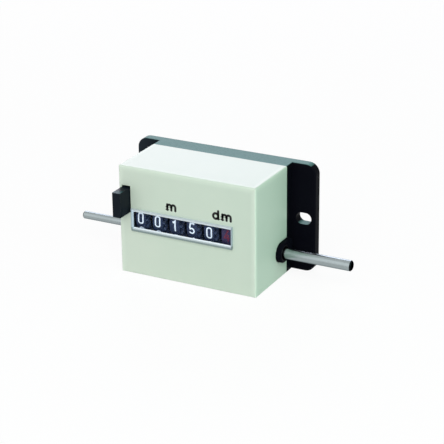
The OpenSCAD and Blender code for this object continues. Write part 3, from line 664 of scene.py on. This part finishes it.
# %% [markdown]
# ## From strokes to printed ink
# A stroke becomes a ribbon of quads with round ends: at each point the ribbon
# is as wide as the pen, square to the mean of the two directions that meet
# there. At a sharp corner it gets wider, but never more than twice the pen.
# Printed ink has a real thickness of a few hundredths, so the ribbon is closed
# below and at its sides. A function lays each point of it on the drum or on the
# flat front.

# %% Cross lines of a stroke
STEP = 0.30
NO_LENGTH = 1e-6
LEAST_COSINE = 0.5
CAP_DEGREES = (30, 55, 75, 88)


def resampled(points):
    """The same line with a point at least every STEP, so that it can bend."""
    out = [points[0]]
    for a, b in zip(points, points[1:]):
        run = math.dist(a, b)
        if run < NO_LENGTH:
            continue
        count = max(1, math.ceil(run / STEP))
        out += [(a[0] + (b[0] - a[0]) * i / count, a[1] + (b[1] - a[1]) * i / count)
                for i in range(1, count + 1)]
    return out


def cap(tip, before, width):
    """Cross lines that round off the end at tip."""
    along = (tip - before).normalized()
    across = Vector((-along.y, along.x))
    out = []
    for degrees in CAP_DEGREES:
        a = math.radians(degrees)
        middle = tip + along * (math.sin(a) * width / 2)
        reach = across * (math.cos(a) * width / 2)
        out.append((middle + reach, middle - reach))
    return out


def ribbon(points, width):
    """The ribbon's cross lines as (left, right) pairs, with round ends on an open line."""
    line = [Vector(p) for p in resampled(points)]
    closed = (line[0] - line[-1]).length < NO_LENGTH
    if closed:
        line.pop()
    count = len(line)
    pairs = []
    for i, point in enumerate(line):
        before = line[i - 1] if i or closed else line[0]
        after = line[(i + 1) % count] if i + 1 < count or closed else line[-1]
        into, out = (point - before).normalized(), (after - point).normalized()
        into, out = into or out, out or into
        along = (into + out).normalized()
        across = Vector((-along.y, along.x)) * (width / 2 / max(LEAST_COSINE, along.dot(into)))
        pairs.append((point + across, point - across))
    if closed:
        return pairs + pairs[:1], True
    start = [(right, left) for left, right in reversed(cap(line[0], line[1], width))]
    return start + pairs + cap(line[-1], line[-2], width), False


print(f"a cross line at least every {STEP} mm")

# %% Closed ink
INK_HEIGHT, INK_DEPTH = 0.03, 0.05


def add_ribbon(mesh, points, width, lay):
    """Adds one stroke to a bmesh as closed ink; lay(x, z, height) gives a point in space."""
    pairs, closed = ribbon(points, width)
    rows = [[mesh.verts.new(lay(p.x, p.y, h)) for p, h in (
        (left, INK_HEIGHT), (right, INK_HEIGHT), (right, -INK_DEPTH), (left, -INK_DEPTH))]
        for left, right in (pairs[:-1] if closed else pairs)]
    if closed:
        rows.append(rows[0])
    for a, b in zip(rows, rows[1:]):
        for i in range(4):
            mesh.faces.new((a[i], b[i], b[(i + 1) % 4], a[(i + 1) % 4]))
    if not closed:
        mesh.faces.new(rows[0])
        mesh.faces.new(rows[-1][::-1])


print(f"ink {INK_HEIGHT} mm over its surface and {INK_DEPTH} mm into it")

# %% A mesh that rides
def finished(mesh, name, material, body):
    """Turns a bmesh into an object that rides on a body."""
    bmesh.ops.recalc_face_normals(mesh, faces=mesh.faces)
    data = bpy.data.meshes.new(name)
    mesh.to_mesh(data)
    mesh.free()
    data.materials.append(material)
    piece = bpy.data.objects.new(name, data)
    bpy.context.scene.collection.objects.link(piece)
    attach(piece, body)
    print(f"{name}: {len(data.polygons)} faces on {body}")
    return piece


# %% [markdown]
# ## Ink
# The figures are printed in a cool white and those of the last wheel in red.
# Ink covers a little unevenly, so its colour and its gloss vary over less than a millimetre. The white is given a
# faint blue glow of its own, painted light that brightens the figures in the shaded window.

# %% Ink
def ink(name, colour, thin, painted_glow=(0, 0, 0, 1)):
    """Printed ink with thinner patches, and a painted glow where that is given."""
    material, tree, place = begin(name)
    patches = noise(place, 1.4, 3)
    end(tree, Base_Color=mix(tree, patches, colour, thin), Roughness=0.45 + 0.15 * patches,
        Specular_IOR_Level=0.3, Emission_Color=painted_glow, Emission_Strength=1.0,
        Normal=bump(patches, 0.12))
    return material


# The white ink's own light is a painted glow.
white_ink = ink("white_ink", (0.93, 0.98, 1.00, 1), (0.86, 0.94, 1.00, 1), (0.09, 0.15, 0.26, 1))
red_ink = ink("red_ink", (0.20, 0.018, 0.052, 1), (0.13, 0.016, 0.048, 1))
mark_ink = ink("mark_ink", (0.002, 0.002, 0.002, 1), (0.006, 0.006, 0.006, 1))
print(f"{white_ink.name} and {red_ink.name} for the figures, {mark_ink.name} for the unit marks")

# %% [markdown]
# ## Figures on the drums
# Ten figures stand round each drum, 36 degrees apart, and the wheel shows the
# one at its front. Turning a wheel by a positive angle moves its front down, so
# the next figure stands above the one that shows. No two drums of a real
# counter line up exactly, and up to three degrees of play are put in here too.

# %% Figures
SHOWN = (0, 0, 1, 5, 0, 4)
PLAY_DEGREES = (2.7, 1.7, -0.1, 1.0, -1.5, -0.6)
FRONT_DEGREES, FIGURE_DEGREES = 180, 36


def on_drum(x_mid, middle_degrees):
    """Lays a flat figure on a drum, its middle at an angle from +Y towards +Z."""
    def lay(x, z, height):
        turn = math.radians(middle_degrees) - z / drum_r
        y, z = (drum_r + height) * math.cos(turn), (drum_r + height) * math.sin(turn)
        return Vector((x_mid + x, wheel_y + y, wheel_z + z)) * MM
    return lay


strokes = figure_strokes()
for n in range(1, WHEELS + 1):
    mesh = bmesh.new()
    for figure, lines in strokes.items():
        above = (figure - SHOWN[n - 1]) * FIGURE_DEGREES
        degrees = FRONT_DEGREES - above - PLAY_DEGREES[n - 1]
        for line in lines:
            add_ribbon(mesh, line, FIGURE_STROKE, on_drum(wheel_x[n], degrees))
    finished(mesh, f"figures_{n}", red_ink if n == WHEELS else white_ink, f"wheel_{n}")

# %% [markdown]
# ## Unit marks
# The letters over the window are plain unit marks, metres over the third wheel
# and tenths at the right. They are drawn with the same pen, only bolder, and
# lie flat on the housing's front.

# %% Letters
MARK_STROKE = 0.89
MARK_H, ASCENDER_H = 2.95, 3.90


def letter_m(x_mid, width=3.30):
    """An m on the base line, its middle at x_mid."""
    foot, high = MARK_STROKE / 2, MARK_H - MARK_STROKE / 2
    r = width / 4
    arch_z, tuck = high - r, 0.1
    lines = [[(x_mid - width / 2, foot), (x_mid - width / 2, high)]]
    for mid in (x_mid - r, x_mid + r):
        arch = arc(mid, arch_z, r, 180, 0)
        lines.append([(mid - r, arch_z - tuck)] + arch + [(mid + r, foot)])
    return lines


def letter_d(x_mid, r=1.02):
    """A d on the base line, its bowl about x_mid."""
    middle = MARK_H / 2
    reach = middle - MARK_STROKE / 2
    return [arc(x_mid, middle, r, 0, 360, reach / r),
            [(x_mid + r, MARK_STROKE / 2), (x_mid + r, ASCENDER_H - MARK_STROKE / 2)]]


print(f"letters {MARK_H} and {ASCENDER_H} mm high")

# %% Unit marks
MARK_BASE = 6.72
m_mid_x, d_mid_x, dm_mid_x = -6.12, 11.95, 16.30


def on_front(x, z, height):
    """Lays a flat mark on the housing's front, over the window."""
    return Vector((x, housing_front - height, MARK_BASE + z)) * MM


for name, lines in (
    ("mark_m", letter_m(m_mid_x)),
    ("mark_dm", letter_d(d_mid_x) + letter_m(dm_mid_x)),
):
    mesh = bmesh.new()
    for line in lines:
        add_ribbon(mesh, line, MARK_STROKE, on_front)
    finished(mesh, name, mark_ink, "frame")

# %% [markdown]
# ## Screws
# The solids have plain screws, so the drive and the thread are made here. A
# head is a turned profile with a cross pressed into it, and a thread is a ridge
# that winds round the shank. One function builds both about an axis along Y, in
# the place of each plain screw.

# %% Thread and shank
SIDES = 24
CORE_SHARE = 0.80


def ring(shift=0.0):
    """Unit vectors in SIDES equal steps about the Y axis, shifted by a share of a step."""
    turns = [2 * math.pi * (i + shift) / SIDES for i in range(SIDES)]
    return [Vector((math.cos(a), 0, math.sin(a))) for a in turns]


def screw(mesh, x, z, head_y, head_r, head_t, shank_r, shank_l, pitch):
    """One screw whose head sits at head_y and whose shank points to -Y."""
    core_r = shank_r * CORE_SHARE
    foot_r, half = core_r * 0.96, pitch * 0.42
    steps = int(shank_l / pitch) * SIDES
    rows = []
    for k in range(steps + SIDES + 1):
        turn = 2 * math.pi * k / SIDES
        fade = min(1.0, k / SIDES, (steps + SIDES - k) / SIDES)
        crest_r = core_r + (shank_r - core_r) * fade
        direction = Vector((math.cos(turn), 0, math.sin(turn)))
        middle = Vector((x, head_y - min(shank_l, pitch * k / SIDES), z))
        rows.append([mesh.verts.new((middle + direction * r + Vector((0, d, 0))) * MM)
                     for r, d in ((foot_r, half), (crest_r, 0), (foot_r, -half))])
    for a, b in zip(rows, rows[1:]):
        for i in range(3):
            mesh.faces.new((a[i], b[i], b[(i + 1) % 3], a[(i + 1) % 3]))
    mesh.faces.new(rows[0])
    mesh.faces.new(rows[-1][::-1])
    tip, end_y = 0.9 * core_r, head_y - shank_l
    lathe(mesh, x, z, [(0, end_y - tip * 0.2), (core_r * 0.35, end_y - tip * 0.1),
                       (core_r, end_y + tip), (core_r, head_y), (0, head_y)])
    cross_head(mesh, x, z, head_y, head_r, head_t)


def lathe(mesh, x, z, profile):
    """A closed turned body about an axis along Y, from (radius, y) points that start and end on it."""
    loops = [[mesh.verts.new(Vector((x, y, z)) * MM)] if r == 0 else
             [mesh.verts.new((Vector((x, y, z)) + d * r) * MM) for d in ring()] for r, y in profile]
    for a, b in zip(loops, loops[1:]):
        for i in range(SIDES):
            j = (i + 1) % SIDES
            around = (a[i % len(a)], a[j % len(a)], b[j % len(b)], b[i % len(b)])
            mesh.faces.new(list(dict.fromkeys(around)))


print(f"screws with {SIDES} sides, their core {CORE_SHARE:.0%} of the thread")

# %% Head with its cross
ARM_SHARE, HALF_WIDTH_SHARE, DEPTH_SHARE = 0.56, 0.13, 0.62


def cross_head(mesh, x, z, head_y, head_r, head_t):
    """A low round head with a cross-shaped recess."""
    arm, half, depth = head_r * ARM_SHARE, head_r * HALF_WIDTH_SHARE, head_t * DEPTH_SHARE
    top_y = head_y + head_t
    outline = []
    for quarter in range(4):
        spin = Matrix.Rotation(-math.pi / 2 * quarter, 3, "Y")
        for u, w in ((half, half), (half, arm), (-half, arm)):
            outline.append(spin @ Vector((w, 0, u)))
    order = sorted(outline, key=lambda p: math.atan2(p.z, p.x))
    loops = [[mesh.verts.new((Vector((x, y, z)) + p * share) * MM) for p in order]
             for share, y in ((0.55, top_y - depth), (1.0, top_y))]
    count = len(order)
    mesh.faces.new(loops[0])
    for i in range(count):
        j = (i + 1) % count
        mesh.faces.new((loops[0][i], loops[0][j], loops[1][j], loops[1][i]))
    profile = [(head_r * 0.80, top_y), (head_r * 0.95, top_y - 0.25 * head_t),
               (head_r, top_y - 0.55 * head_t), (head_r, head_y)]
    turned = [[mesh.verts.new((Vector((x, y, z)) + d * r) * MM) for d in ring(0.5)]
              for r, y in profile]
    per = SIDES // count
    for i in range(count):
        j = (i + 1) % count
        fan = [turned[0][(i * per + k) % SIDES] for k in range(per + 1)]
        mesh.faces.new([loops[1][i], loops[1][j]] + fan[::-1])
    for a, b in zip(turned, turned[1:]):
        for i in range(SIDES):
            j = (i + 1) % SIDES
            mesh.faces.new((a[i], a[j], b[j], b[i]))
    mesh.faces.new(turned[-1])


print(f"heads whose cross reaches {ARM_SHARE:.0%} of their radius")

# %% Screws in their places
screw_steel = metal("screw_steel", (0.52, 0.53, 0.56, 1), (0.40, 0.41, 0.44, 1),
                    rough=0.30, across=Y, per_mm=0.6, strength=0.10)
for name, head_r, head_t, shank_r, pitch in (
    ("cover_screws", 2.10, 1.20, 1.10, 0.60),
    ("frame_screws", 1.80, 1.10, 1.00, 0.45),
):
    low, high = box_mm(name)
    facing = 1 if name == "cover_screws" else -1
    mesh = bmesh.new()
    for x in (low.x + head_r, high.x - head_r):
        for z in (low.z + head_r, high.z - head_r):
            shank = high.y - low.y - head_t
            screw(mesh, x, z, 0.0, head_r, head_t, shank_r, shank, pitch)
    seat = high.y - head_t if facing > 0 else low.y + head_t
    for vert in mesh.verts:
        vert.co.y = seat * MM + facing * vert.co.y
    piece = finished(mesh, f"{name}_driven", screw_steel, "frame")
    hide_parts(name)

# %% [markdown]
# ## The key's spring
# The spring behind the key gets shorter as the key goes in, by as much as the key travels. Here it is a wire swept
# along a helix, and it stays with the frame and keeps its shape as the key moves.

# %% Turns of the spring
low, high = box_mm("key_spring")
wire_r, turns, points_per_turn = 0.17, 7, 20
coil_r = (high.z - low.z) / 2 - wire_r
axis_x, axis_z = (low.x + high.x) / 2, (low.z + high.z) / 2
start_y, stop_y = low.y + wire_r, high.y - wire_r
dead = 0.75


def wound(t):
    """Share of the way along the axis at turn t, with closed end turns."""
    lift = 2 * wire_r / (stop_y - start_y)
    if t < dead:
        return lift * t / dead
    if t > turns - dead:
        return 1 - lift * (turns - t) / dead
    return lift + (1 - 2 * lift) * (t - dead) / (turns - 2 * dead)


print(f"{turns} turns of {2 * coil_r:.2f} mm")

# %% Wire of the spring
count = turns * points_per_turn
curve = bpy.data.curves.new("spring", "CURVE")
curve.dimensions = "3D"
curve.bevel_depth = wire_r * MM
curve.bevel_resolution = 3
curve.use_fill_caps = True
spline = curve.splines.new("POLY")
spline.points.add(count)
for i in range(count + 1):
    a = 2 * math.pi * i / points_per_turn
    y = start_y + (stop_y - start_y) * wound(i / points_per_turn)
    on_wire = Vector((axis_x + coil_r * math.cos(a), y, axis_z + coil_r * math.sin(a)))
    spline.points[i].co = (*(on_wire * MM), 1)
holder = bpy.data.objects.new("spring", curve)
bpy.context.scene.collection.objects.link(holder)
bpy.context.view_layer.update()
mesh = bmesh.new()
mesh.from_mesh(holder.to_mesh())
bpy.data.objects.remove(holder)
spring_wire = metal("spring_wire", (0.40, 0.40, 0.42, 1), (0.30, 0.30, 0.32, 1),
                    rough=0.26, across=Y, per_mm=0.6, strength=0.08)
spring = finished(mesh, "key_return_spring", spring_wire, "frame")
spring.data.polygons.foreach_set("use_smooth", [True] * len(spring.data.polygons))
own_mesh(spring)
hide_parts("key_spring")
